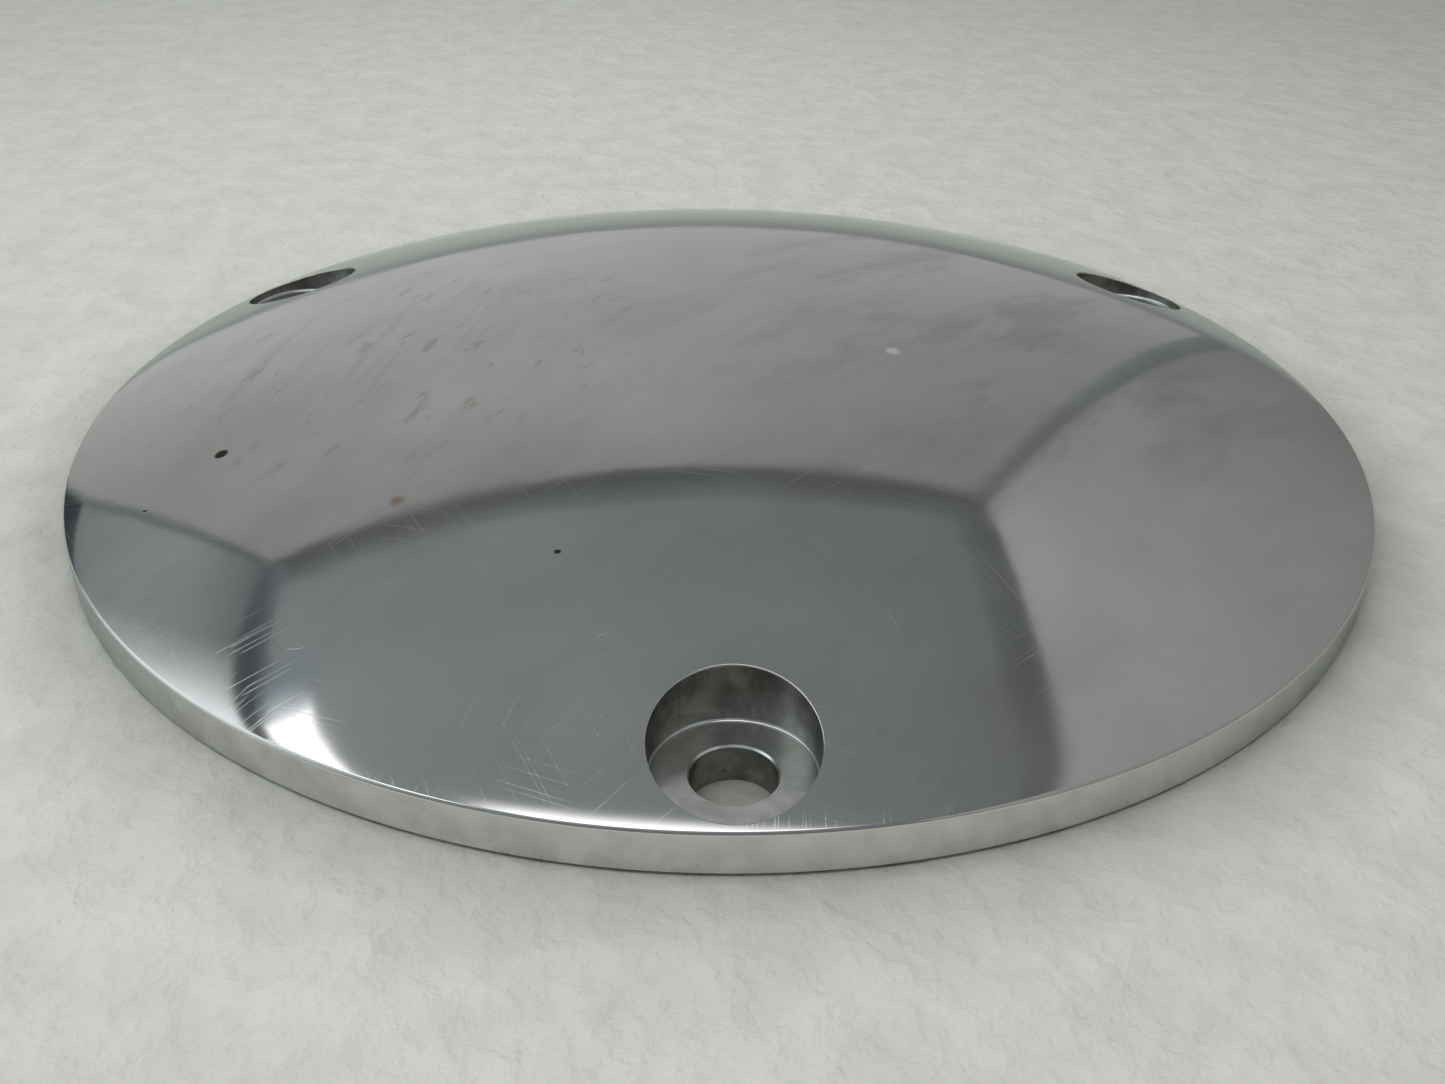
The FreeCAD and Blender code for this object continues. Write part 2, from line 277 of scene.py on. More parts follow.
def add_filling(shell, plan, triangles, height, upwards):
    points = np.column_stack([plan, height(plan)])
    for a, b, c in triangles:
        turn = np.cross(plan[b] - plan[a], plan[c] - plan[a])
        order = (a, b, c) if (turn > 0) == upwards else (a, c, b)
        shell.face([points[i] for i in order])


def spread_rings(radii, spacing):
    """Rings of evenly spaced points, with the axis point, for the middle of a filling."""
    rings = [np.zeros((1, 2))]
    for number, radius in enumerate(radii):
        count = max(6, 6 * round(2 * math.pi * radius / spacing / 6))
        turn = 2 * math.pi * (np.arange(count) + 0.5 * (number % 2)) / count
        rings.append(radius * np.stack([np.cos(turn), np.sin(turn)], 1))
    return np.concatenate(rings)


def add_top(shell):
    """The polished dome with its rolled edge, open at the three counterbores."""
    outer = circle(RIM_RADIUS, AROUND)
    mouths = [circle(BORE_RADIUS + MOUTH_BREAK, AROUND_HOLE, centre=c) for c in HOLE_CENTRES]
    dome_step = 1.9
    dome_rings = np.arange(dome_step, SHOULDER_START - dome_step / 2, dome_step)
    inner = [spread_rings(dome_rings, dome_step)]
    shoulder_steps = 12
    shoulder_rings = np.linspace(SHOULDER_START, ROLL_START, shoulder_steps + 1)[:-1]
    inner += [circle(radius, AROUND) for radius in shoulder_rings]
    start_angle = math.asin((ROLL_START - ROLL_X) / ROLL_RADIUS)
    edge_angle = math.asin((RIM_RADIUS - ROLL_X) / ROLL_RADIUS)
    roll_steps = 9
    for step in range(roll_steps):
        angle = start_angle + (edge_angle - start_angle) * step / roll_steps
        inner.append(circle(ROLL_X + ROLL_RADIUS * math.sin(angle), AROUND))
    for centre in HOLE_CENTRES:
        for gap, count in ((0.25, 96), (0.7, 72), (1.5, 48)):
            ring = circle(BORE_RADIUS + MOUTH_BREAK + gap, count, centre=centre)
            inner.append(ring[np.hypot(ring[:, 0], ring[:, 1]) < SHOULDER_START - 0.2])
    plan, triangles = filling(outer, mouths, np.concatenate(inner), [0.03] + [0.09] * 3)
    shell.surface(top_normals, "polished_dome")
    add_filling(shell, plan, triangles, top_height, upwards=True)


def add_screw_hole(shell, centre):
    """Mouth, counterbore, seat and through hole, from the dome down to the back."""
    def around(radius, height):
        return circle(radius, AROUND_HOLE, height, centre)

    def mouth_row(share):
        turn = share * math.pi / 2
        plan = circle(BORE_RADIUS + MOUTH_BREAK * (1 - math.cos(turn)), AROUND_HOLE, None, centre)
        return np.column_stack([plan, top_height(plan) - MOUTH_BREAK * (1 - math.sin(turn))])

    def mouth_normals(points):
        from_wall = np.linalg.norm(points[:, :2] - centre, axis=1) - BORE_RADIUS
        turn = np.arccos(np.clip(1 - from_wall / MOUTH_BREAK, -1, 1))[:, None]
        return unit(np.sin(turn) * top_normals(points) - np.cos(turn) * outward(points, centre))

    def wall_normals(points):
        return -outward(points, centre)

    def fillet_normals(points):
        across = np.linalg.norm(points[:, :2] - centre, axis=1) - (BORE_RADIUS - BORE_CORNER)
        return tilted(points, -across, SEAT_HEIGHT + BORE_CORNER - points[:, 2], centre)

    def break_normals(points):
        return tilted(points, -np.ones(len(points)), 1.0, centre)

    shell.surface(mouth_normals, "polished_dome")
    rows = [mouth_row(share) for share in np.linspace(1, 0, 5)]
    shell.rows(rows)

    shell.surface(wall_normals, "bored_wall")
    lower = around(BORE_RADIUS, SEAT_HEIGHT + BORE_CORNER)
    upper = rows[-1]
    shell.rows([upper + (lower - upper) * share for share in np.linspace(0, 1, 9)])

    shell.surface(fillet_normals, "faced_seat")
    turns = np.linspace(0, math.pi / 2, 7)
    shell.rows([around(BORE_RADIUS - BORE_CORNER * (1 - math.cos(t)),
                       SEAT_HEIGHT + BORE_CORNER * (1 - math.sin(t))) for t in turns])

    shell.surface(lambda points: np.tile([0.0, 0.0, 1.0], (len(points), 1)), "faced_seat")
    radii = np.linspace(BORE_RADIUS - BORE_CORNER, HOLE_RADIUS + HOLE_BREAK, 5)
    shell.rows([around(radius, SEAT_HEIGHT) for radius in radii])

    shell.surface(break_normals, "faced_seat")
    shell.rows([around(HOLE_RADIUS + HOLE_BREAK, SEAT_HEIGHT),
                around(HOLE_RADIUS, SEAT_HEIGHT - HOLE_BREAK)])

    shell.surface(wall_normals, "bored_wall")
    heights = np.linspace(SEAT_HEIGHT - HOLE_BREAK, 0, 5)
    shell.rows([around(HOLE_RADIUS, height) for height in heights])


def add_lathed(shell, finish, points, normals):
    """A turned surface: its (radius, height) points, and one rule or one (out, up) normal."""
    if not callable(normals):
        out, up = normals

        def rule(places):
            return tilted(places, np.full(len(places), float(out)), float(up))
        shell.surface(rule, finish)
    else:
        shell.surface(normals, finish)
    shell.rows([circle(radius, AROUND, height) for radius, height in points])


def add_back(shell):
    """The band, the flat mounting face, the seal groove and the hollow."""
    foot = RIM_RADIUS - BASE_CHAMFER
    lip = CAVITY_RADIUS + CAVITY_CHAMFER
    band_heights = np.linspace(RIM_HEIGHT, BASE_CHAMFER, 5)
    add_lathed(shell, "turned_band", [(RIM_RADIUS, z) for z in band_heights][::-1], (1, 0))
    add_lathed(shell, "turned_band", [(foot, 0), (RIM_RADIUS, BASE_CHAMFER)], (1, -1))

    outer = circle(foot, AROUND)
    holes = [circle(GROOVE_OUTER, AROUND)]
    holes += [circle(HOLE_RADIUS, AROUND_HOLE, centre=c) for c in HOLE_CENTRES]
    inner = spread_rings(np.arange(GROOVE_OUTER + 2, foot - 1, 2.2), 2.2)[1:]
    plan, triangles = filling(outer, holes, inner, [0.5, 0.5] + [0.4] * 3)
    shell.surface(lambda points: np.tile([0.0, 0.0, -1.0], (len(points), 1)), "machined_back")
    add_filling(shell, plan, triangles, lambda p: np.zeros(len(p)), upwards=False)

    add_lathed(shell, "machined_back", [(GROOVE_OUTER, GROOVE_DEPTH), (GROOVE_OUTER, 0)], (-1, 0))
    add_lathed(shell, "machined_back", [(GROOVE_INNER, GROOVE_DEPTH), (GROOVE_OUTER, GROOVE_DEPTH)],
               (0, -1))
    add_lathed(shell, "machined_back", [(GROOVE_INNER, 0), (GROOVE_INNER, GROOVE_DEPTH)], (1, 0))
    add_lathed(shell, "machined_back", [(lip, 0), (GROOVE_INNER, 0)], (0, -1))
    add_lathed(shell, "machined_back", [(CAVITY_RADIUS, CAVITY_CHAMFER), (lip, 0)], (-1, -1))
    sides = np.linspace(CEILING_CORNER_Z, CAVITY_CHAMFER, 4)
    add_lathed(shell, "machined_back", [(CAVITY_RADIUS, z) for z in sides], (-1, 0))

    def corner_normals(points):
        radius = np.hypot(points[:, 0], points[:, 1])
        return tilted(points, CEILING_CORNER_X - radius, CEILING_CORNER_Z - points[:, 2])

    last = math.acos((CEILING_EDGE - CEILING_CORNER_X) / CAVITY_CORNER)
    corner = [(CEILING_CORNER_X + CAVITY_CORNER * math.cos(t),
               CEILING_CORNER_Z + CAVITY_CORNER * math.sin(t)) for t in np.linspace(last, 0, 8)]
    add_lathed(shell, "machined_back", corner, corner_normals)

    outer = circle(CEILING_EDGE, AROUND)
    inner = spread_rings(np.arange(2, CEILING_EDGE - 1, 2.0), 2.0)
    plan, triangles = filling(outer, [], inner, [0.5])
    shell.surface(ceiling_normals, "machined_back")
    add_filling(shell, plan, triangles, ceiling_height, upwards=False)


# ---------------------------------------------------------------- material nodes
class Paint:
    """A material and short ways to add its nodes. Lengths inside are millimetres."""

    def __init__(self, name):
        self.material = bpy.data.materials.new(name)
        self.material.use_nodes = True
        self.tree = self.material.node_tree
        self.tree.nodes.clear()
        self.output = self.tree.nodes.new("ShaderNodeOutputMaterial")
        place = self.tree.nodes.new("ShaderNodeTexCoord").outputs["Object"]
        self.place = self.vector("SCALE", place, scale=1 / MM)

    def put(self, socket, value):
        if isinstance(value, bpy.types.NodeSocket):
            self.tree.links.new(value, socket)
        elif value is not None:
            socket.default_value = value

    def maths(self, operation, first, second=None, clamp=False):
        node = self.tree.nodes.new("ShaderNodeMath")
        node.operation = operation
        node.use_clamp = clamp
        self.put(node.inputs[0], first)
        self.put(node.inputs[1], second)
        return node.outputs[0]

    def vector(self, operation, first, second=None, scale=None):
        node = self.tree.nodes.new("ShaderNodeVectorMath")
        node.operation = operation
        self.put(node.inputs[0], first)
        if second is not None:
            self.put(node.inputs[1], second)
        if scale is not None:
            self.put(node.inputs["Scale"], scale)
        return node.outputs["Value" if operation in ("LENGTH", "DISTANCE") else "Vector"]

    def stretched(self, place, turn=0.0, scale=(1, 1, 1), shift=(0, 0, 0)):
        """Coordinates turned about +Z, then scaled, so a texture runs along one direction."""
        turned = self.tree.nodes.new("ShaderNodeVectorRotate")
        turned.rotation_type = "Z_AXIS"
        self.put(turned.inputs["Vector"], place)
        turned.inputs["Angle"].default_value = turn
        moved = self.vector("ADD", turned.outputs[0], shift)
        return self.vector("MULTIPLY", moved, scale)

    def noise(self, place, scale, detail=3.0, roughness=0.5, dimensions="3D"):
        node = self.tree.nodes.new("ShaderNodeTexNoise")
        node.noise_dimensions = dimensions
        self.put(node.inputs["Vector"], place)
        node.inputs["Scale"].default_value = scale
        node.inputs["Detail"].default_value = detail
        node.inputs["Roughness"].default_value = roughness
        return node.outputs

    def noise_along(self, distance, scale, detail):
        """Noise that changes along one measure only, as a tool's marks do."""
        node = self.tree.nodes.new("ShaderNodeTexNoise")
        node.noise_dimensions = "1D"
        self.put(node.inputs["W"], distance)
        node.inputs["Scale"].default_value = scale
        node.inputs["Detail"].default_value = detail
        return node.outputs[0]

    def cells(self, place, dimensions="3D"):
        node = self.tree.nodes.new("ShaderNodeTexVoronoi")
        node.voronoi_dimensions = dimensions
        self.put(node.inputs["Vector"], place)
        node.inputs["Scale"].default_value = 1.0
        return node.outputs

    def ramp(self, value, low, high, bottom=0.0, top=1.0, smooth=True):
        """value from low..high taken to bottom..top, and no further."""
        node = self.tree.nodes.new("ShaderNodeMapRange")
        node.interpolation_type = "SMOOTHSTEP" if smooth else "LINEAR"
        for name, number in (("Value", value), ("From Min", low), ("From Max", high),
                             ("To Min", bottom), ("To Max", top)):
            self.put(node.inputs[name], number)
        return node.outputs[0]

    def mix(self, share, first, second, blend="MIX"):
        node = self.tree.nodes.new("ShaderNodeMix")
        node.data_type = "RGBA"
        node.blend_type = blend
        self.put(node.inputs["Factor"], share)
        self.put(node.inputs[6], first)
        self.put(node.inputs[7], second)
        return node.outputs[2]

    def bump(self, height, strength=1.0, below=None):
        """height is in millimetres."""
        node = self.tree.nodes.new("ShaderNodeBump")
        node.inputs["Strength"].default_value = strength
        node.inputs["Distance"].default_value = MM
        self.put(node.inputs["Height"], height)
        self.put(node.inputs["Normal"], below)
        return node.outputs[0]

    def total(self, *values):
        sum_so_far = values[0]
        for value in values[1:]:
            sum_so_far = self.maths("ADD", sum_so_far, value)
        return sum_so_far

    def near(self, place, centre, radius, soft=0.5):
        """1 inside a ball round a point, falling to 0 at its radius."""
        apart = self.vector("DISTANCE", place, centre)
        return self.ramp(apart, radius * soft, radius, 1.0, 0.0)

    def colour_parts(self, colour):
        node = self.tree.nodes.new("ShaderNodeSeparateColor")
        self.put(node.inputs[0], colour)
        return node.outputs

    def axes(self, place):
        node = self.tree.nodes.new("ShaderNodeSeparateXYZ")
        self.put(node.inputs[0], place)
        return node.outputs

    def joined(self, x, y, z=0.0):
        node = self.tree.nodes.new("ShaderNodeCombineXYZ")
        for socket, value in zip(node.inputs, (x, y, z)):
            self.put(socket, value)
        return node.outputs[0]

    def hairlines(self, place, heading, length, width, share, seed):
        """1 on straight thin scratches that run along one heading in plan, 0 elsewhere."""
        reach = 0.22
        scale = (reach * 2 / length, reach * 2 / width, 0.0)
        shift = (seed * 31.7, seed * 12.3, 0.0)
        cell = self.cells(self.stretched(place, -heading, scale, shift), "2D")
        line = self.ramp(cell["Distance"], reach, reach * 0.4, 0.0, 1.0)
        random = self.colour_parts(cell["Color"])
        chosen = self.maths("GREATER_THAN", random[0], 1 - share)
        weight = self.ramp(random[1], 0.0, 1.0, 0.35, 1.0)
        return self.maths("MULTIPLY", self.maths("MULTIPLY", line, chosen), weight)

    def arc(self, place, centre, radius, width, middle, reach):
        """1 on part of a thin curved scratch."""
        off = self.maths("SUBTRACT", self.vector("DISTANCE", place, centre), radius)
        line = self.ramp(self.maths("ABSOLUTE", off), width / 2, width / 5, 0.0, 1.0)
        return self.maths("MULTIPLY", line, self.near(place, middle, reach, 0.4))

    def metal(self, colour, roughness, normal=None):
        shader = self.tree.nodes.new("ShaderNodeBsdfPrincipled")
        shader.inputs["Metallic"].default_value = 1.0
        self.put(shader.inputs["Base Color"], colour)
        self.put(shader.inputs["Roughness"], roughness)
        self.put(shader.inputs["Normal"], normal)
        shader.inputs["Specular Tint"].default_value = EDGE_TINT
        self.tree.links.new(shader.outputs[0], self.output.inputs["Surface"])
        return self.material


ALUMINIUM = (0.70, 0.71, 0.71, 1)
EDGE_TINT = (0.68, 0.69, 0.70, 1)
SCRATCHED = (0.84, 0.85, 0.87, 1)
DULLED = (0.74, 0.75, 0.73, 1)
STAIN = (0.40, 0.38, 0.35, 1)
BROWN_FILM = (0.47, 0.44, 0.43, 1)
PIT = (0.06, 0.055, 0.04, 1)
RUST = (0.40, 0.31, 0.22, 1)
FLECK = (0.95, 0.95, 0.97, 1)
# The bore walls' two colours are painted shade: dark for the shade down inside the counterbores and
# holes.
BORE_SHADE_DARK = (0.22, 0.225, 0.205, 1)
BORE_SHADE_PALE = (0.38, 0.385, 0.355, 1)
SEAT_METAL = (0.90, 0.92, 0.92, 1)
SEAT_FILM = (0.72, 0.73, 0.71, 1)
BACK_METAL = (0.70, 0.70, 0.69, 1)
BACK_FILM = (0.50, 0.47, 0.40, 1)
RUBBER = (0.012, 0.012, 0.013, 1)
RUBBER_BLOOM = (0.045, 0.045, 0.047, 1)
FOAM = (0.69, 0.71, 0.65, 1)
FOAM_SWELL = (0.76, 0.78, 0.72, 1)


def on_dome(x, y):
    """The point of the outside above a place in plan."""
    return (x, y, float(top_height(np.array([[x, y]]))[0]))


def dome_scratches(paint, place):
    """Fine scratches over the whole dome, and the deeper groups towards its front."""
    wander = paint.noise(place, 0.05, 1.0)["Color"]
    wander = paint.vector("SCALE", paint.vector("SUBTRACT", wander, (0.5, 0.5, 0.5)), scale=3.0)
    bent = paint.vector("ADD", place, wander)
    fine = paint.total(
        paint.hairlines(bent, -0.35, 9.0, 0.08, 0.12, 1),
        paint.hairlines(bent, 0.75, 7.0, 0.08, 0.12, 2),
        paint.hairlines(bent, 2.05, 11.0, 0.08, 0.09, 3))

    # Buffing marks stand square to the rim, all the way round it.
    x, y = paint.axes(place)[0:2]
    radius = paint.vector("LENGTH", paint.vector("MULTIPLY", place, (1, 1, 0)))
    arc_length = paint.maths("MULTIPLY", paint.maths("ARCTAN2", x, y), RIM_RADIUS)
    unrolled = paint.joined(radius, arc_length)
    buffed = paint.maths("MULTIPLY", paint.hairlines(unrolled, 0.12, 4.0, 0.08, 0.24, 4),
                         paint.ramp(radius, 57.0, 65.0))

    groups = (
        ((-38, -47.5), 8.0, 0.48, 6.0, 0.18),
        ((-18, -58), 11.0, 1.2, 4.0, 0.14),
        ((-8, -52), 6.5, 0.25, 3.0, 0.16),
        ((10, -46), 9.0, 1.9, 4.0, 0.10),
        ((15, -60), 5.0, -0.55, 2.5, 0.09))
    deep = None
    for number, (middle, reach, heading, length, share) in enumerate(groups):
        lines = paint.hairlines(place, heading, length, 0.09, share, 6 + number)
        lines = paint.maths("MULTIPLY", lines, paint.near(place, on_dome(*middle), reach, 0.4))
        deep = lines if deep is None else paint.maths("ADD", deep, lines)
    curls = paint.total(
        paint.arc(place, on_dome(-34.5, -45.0), 3.0, 0.10, on_dome(-33.5, -48), 3.4),
        paint.arc(place, on_dome(30.0, -30.0), 16.0, 0.10, on_dome(15.5, -38), 4.5),
        paint.arc(place, on_dome(-22.0, -20.0), 24.0, 0.10, on_dome(1.5, -14), 9.0))
    return fine, buffed, paint.maths("ADD", deep, paint.maths("MULTIPLY", curls, 0.5))


def dome_marks(paint, place):
    """Smears, water marks and brown film: each is 1 where it is thickest."""
    wiped = paint.stretched(place, -1.15, (0.16, 0.38, 0.0))
    flecks = paint.ramp(paint.noise(wiped, 1.0, 5.0, 0.70, "2D")["Fac"], 0.585, 0.70)
    flecks = paint.maths("MULTIPLY", flecks, paint.near(place, on_dome(-32, -3), 34, 0.4))
    streaks = paint.stretched(place, -1.3, (0.035, 0.42, 0.0))
    streaks = paint.ramp(paint.noise(streaks, 1.0, 4.0, 0.6, "2D")["Fac"], 0.55, 0.80)
    streaks = paint.maths("MULTIPLY", streaks, paint.near(place, on_dome(-38, 4), 30, 0.4))
    film = paint.stretched(place, -0.9, (0.035, 0.11, 0.0))
    film = paint.ramp(paint.noise(film, 1.0, 5.0, 0.62, "2D")["Fac"], 0.44, 0.72)
    where = paint.total(paint.near(place, on_dome(30, 4), 40, 0.4), 0.3)
    film = paint.maths("MULTIPLY", film, where, clamp=True)
    return flecks, streaks, film


def polished_dome():
    """Mirror-polished aluminium with the haze, scratches, stains and pits of years in use."""
    paint = Paint("polished_dome")
    place = paint.place
    waves = paint.noise(place, 0.055, 1.0, 0.4)["Fac"]
    ripple = paint.noise(place, 0.16, 2.0, 0.45)["Fac"]
    haze = paint.ramp(paint.noise(place, 0.045, 4.0, 0.6)["Fac"], 0.35, 0.7)
    fine, buffed, deep = dome_scratches(paint, place)
    flecks, streaks, film = dome_marks(paint, place)
    pits = paint.total(
        paint.near(place, on_dome(-47.7, -19.4), 0.85, 0.6),
        paint.near(place, on_dome(-14.2, -40.4), 0.40, 0.5),
        paint.near(place, on_dome(-53.3, -26.0), 0.30, 0.5))
    rust = paint.near(place, on_dome(-28.8, -32.0), 0.85, 0.2)
    bright = paint.near(place, on_dome(16.8, -8.7), 1.10, 0.3)

    scratches = paint.maths("MULTIPLY", paint.total(fine, buffed, deep), 0.3, clamp=True)
    colour = paint.mix(paint.maths("MULTIPLY", haze, 0.22), ALUMINIUM, BROWN_FILM)
    colour = paint.mix(paint.maths("MULTIPLY", film, 0.60), colour, BROWN_FILM)
    colour = paint.mix(paint.maths("MULTIPLY", flecks, 0.50), colour, STAIN)
    colour = paint.mix(paint.maths("MULTIPLY", streaks, 0.30), colour, STAIN)
    colour = paint.mix(scratches, colour, SCRATCHED)
    colour = paint.mix(rust, colour, RUST)
    colour = paint.mix(bright, colour, FLECK)
    colour = paint.mix(pits, colour, PIT)

    radius = paint.vector("LENGTH", paint.vector("MULTIPLY", place, (1, 1, 0)))
    worn_edge = paint.ramp(radius, 58.0, RIM_RADIUS)
    roughness = paint.total(0.052,
                            paint.maths("MULTIPLY", haze, 0.03),
                            paint.maths("MULTIPLY", worn_edge, 0.020),
                            paint.maths("MULTIPLY", fine, 0.13),
                            paint.maths("MULTIPLY", buffed, 0.16),
                            paint.maths("MULTIPLY", deep, 0.18),
                            paint.maths("MULTIPLY", film, 0.05),
                            paint.maths("MULTIPLY", paint.total(rust, bright, pits), 0.5))
    height = paint.total(
        paint.maths("MULTIPLY", waves, 0.020),
        paint.maths("MULTIPLY", ripple, 0.010),
        paint.maths("MULTIPLY", deep, -0.004),
        paint.maths("MULTIPLY", pits, -0.03))
    return paint.metal(colour, roughness, paint.bump(height))


def turned_band():
    """The edge of the disc: polished, with fine marks that run round it."""
    paint = Paint("turned_band")
    lines = paint.noise_along(paint.axes(paint.place)[2], 14.0, 3.0)
    patches = paint.noise(paint.place, 0.25, 4.0, 0.6)["Fac"]
    knocks = paint.ramp(paint.noise(paint.place, 1.6, 3.0, 0.7)["Fac"], 0.68, 0.76)
    roughness = paint.total(0.16, paint.ramp(patches, 0.35, 0.75, 0.0, 0.12),
                            paint.maths("MULTIPLY", knocks, 0.2))
    colour = paint.mix(paint.ramp(patches, 0.4, 0.7, 0.0, 0.35), DULLED, STAIN)
    height = paint.total(paint.maths("MULTIPLY", lines, 0.004),
                         paint.maths("MULTIPLY", knocks, -0.02))
    return paint.metal(colour, roughness, paint.bump(height))


def from_nearest_axis(paint):
    """Distance in plan from the nearest screw's axis."""
    flat = paint.vector("MULTIPLY", paint.place, (1, 1, 0))
    distance = None
    for centre in HOLE_CENTRES:
        here = paint.vector("DISTANCE", flat, (centre[0], centre[1], 0))
        distance = here if distance is None else paint.maths("MINIMUM", distance, here)
    return distance


def bored_wall():
    """Bored metal, its colour painted dark and uneven for the shade down inside the bores, with the
    tool's fine rings and a few pinholes.
    """
    paint = Paint("bored_wall")
    rings = paint.noise_along(paint.axes(paint.place)[2], 9.0, 3.0)
    film = paint.noise(paint.place, 0.5, 4.0, 0.6)["Fac"]
    holes = paint.cells(paint.vector("SCALE", paint.place, scale=0.9))
    pins = paint.ramp(holes["Distance"], 0.10, 0.05)
    # Painted shade: the wall's colour is kept dark, unevenly, for the shade inside the bores.
    colour = paint.mix(paint.ramp(film, 0.35, 0.7), BORE_SHADE_DARK, BORE_SHADE_PALE)
    colour = paint.mix(paint.maths("MULTIPLY", pins, 0.7), colour, PIT)
    roughness = paint.total(0.30, paint.ramp(film, 0.3, 0.7, 0.0, 0.14))
    height = paint.total(paint.maths("MULTIPLY", rings, 0.006),
                         paint.maths("MULTIPLY", pins, -0.03))
    return paint.metal(colour, roughness, paint.bump(height))


def faced_seat():
    """The flat under the screw head, with rings from the cutter and from old screw heads."""
    paint = Paint("faced_seat")
    rings = paint.noise_along(from_nearest_axis(paint), 7.0, 4.0)
    film = paint.noise(paint.place, 0.45, 3.0, 0.5)["Fac"]
    colour = paint.mix(paint.ramp(film, 0.4, 0.75), SEAT_METAL, SEAT_FILM)
    roughness = paint.total(0.20, paint.ramp(film, 0.3, 0.7, 0.0, 0.08))
    height = paint.total(paint.maths("MULTIPLY", rings, 0.005),
                         paint.maths("MULTIPLY", film, 0.006))
    return paint.metal(colour, roughness, paint.bump(height))


def machined_back():
    """Turned, unpolished aluminium: fine rings about the cover's axis, dulled by oil."""
    paint = Paint("machined_back")
    flat = paint.vector("MULTIPLY", paint.place, (1, 1, 0))
    distance = paint.vector("LENGTH", flat)
    feed = paint.maths("SINE", paint.maths("MULTIPLY", distance, 2 * math.pi / 0.35))
    rings = paint.noise_along(distance, 1.4, 4.0)
    film = paint.noise(paint.place, 0.06, 5.0, 0.6)["Fac"]
    colour = paint.mix(paint.ramp(film, 0.42, 0.7), BACK_METAL, BACK_FILM)
    roughness = paint.total(0.28, paint.ramp(film, 0.3, 0.7, 0.0, 0.16))
    height = paint.total(paint.maths("MULTIPLY", feed, 0.004),
                         paint.maths("MULTIPLY", rings, 0.012))
    return paint.metal(colour, roughness, paint.bump(height))


def nitrile_rubber():
    """Black nitrile rubber, faintly bloomed."""
    paint = Paint("nitrile_rubber")
    bloom = paint.noise(paint.place, 0.5, 5.0, 0.7)["Fac"]
    speck = paint.noise(paint.place, 6.0, 3.0, 0.6)["Fac"]
    shader = paint.tree.nodes.new("ShaderNodeBsdfPrincipled")
    colour = paint.mix(paint.ramp(bloom, 0.4, 0.8), RUBBER, RUBBER_BLOOM)
    paint.put(shader.inputs["Base Color"], colour)
    paint.put(shader.inputs["Roughness"], paint.ramp(bloom, 0.3, 0.8, 0.42, 0.68))
    paint.put(shader.inputs["Normal"], paint.bump(paint.maths("MULTIPLY", speck, 0.02)))
    paint.tree.links.new(shader.outputs[0], paint.output.inputs["Surface"])
    return paint.material


# ---------------------------------------------------------------- pieces
def add_object(name, data):
    thing = bpy.data.objects.new(name, data)
    bpy.context.scene.collection.objects.link(thing)
    return thing


def make_cover():
    shell = Shell()
    add_top(shell)
    for centre in HOLE_CENTRES:
        add_screw_hole(shell, centre)
    add_back(shell)
    finishes = [polished_dome(), turned_band(), bored_wall(), faced_seat(), machined_back()]
    cover = add_object("polished_cover", shell.mesh("polished_cover", finishes))
    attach(cover, "root")
    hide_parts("cover")


def make_seal():
    """The rubber ring: a squeezed round section with a fine mould line along each side."""
    half_height = GROOVE_DEPTH / 2
    half_flat = SEAL_WIDTH / 2 - half_height
    mould_line = 0.03
    section = []
    steps = 20
    for side in (1, -1):
        for step in range(steps + 1):
            turn = math.pi * step / steps - math.pi / 2
            proud = mould_line * math.exp(-(turn / 0.06) ** 2)
            reach = half_flat + (half_height + proud) * math.cos(turn)
            height = side * half_height * math.sin(turn)
            section.append((GROOVE_MIDDLE + side * reach, half_height + height))
    shell = Shell()

    def section_normals(points):
        radius = np.hypot(points[:, 0], points[:, 1]) - GROOVE_MIDDLE
        beyond = np.sign(radius) * np.maximum(np.abs(radius) - half_flat, 0)
        return tilted(points, beyond, points[:, 2] - half_height)

    shell.surface(section_normals, "nitrile_rubber")
    rows = [circle(radius, AROUND, height) for radius, height in section]
    shell.rows(rows + rows[:1])
    seal = add_object("rubber_seal", shell.mesh("rubber_seal", [nitrile_rubber()]))
    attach(seal, "root")
    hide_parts("seal_ring")


# ---------------------------------------------------------------- surroundings
def linear(level, tint=(1.0, 1.0, 1.0)):
    """The light that a screen level from 0 to 255 stands for, in three channels."""
    share = level / 255
    value = share / 12.92 if share <= 0.04045 else ((share + 0.055) / 1.055) ** 2.4
    return value * np.array(tint)


METAL_SHARE = 0.71       # how much of the room's light the polished metal gives back
COOL = (0.96, 1.01, 1.02)
NEUTRAL = (0.99, 1.01, 0.97)
COLD = (0.88, 1.02, 1.10)

# The room is a plain box, turned a little, that the dome mirrors.
ROOM_TURN = math.radians(3.6)
ROOM_LEFT, ROOM_RIGHT = -1.086, 0.82
ROOM_FAR, ROOM_NEAR = 1.277, -1.6
ROOM_HEIGHT = 1.5
ROOM_SLOPE = 0.08        # how much lower the ceiling is in the far left corner


def in_room(x, y, z):
    cos, sin = math.cos(ROOM_TURN), math.sin(ROOM_TURN)
    return (x * cos - y * sin, x * sin + y * cos, z)


def ceiling_at(x, y, below=0.0):
    """A point of the room's ceiling, or a little under it."""
    to_left = (ROOM_RIGHT - x) / (ROOM_RIGHT - ROOM_LEFT)
    to_far = (y - ROOM_NEAR) / (ROOM_FAR - ROOM_NEAR)
    return (x, y, ROOM_HEIGHT - ROOM_SLOPE * to_left * to_far - below)


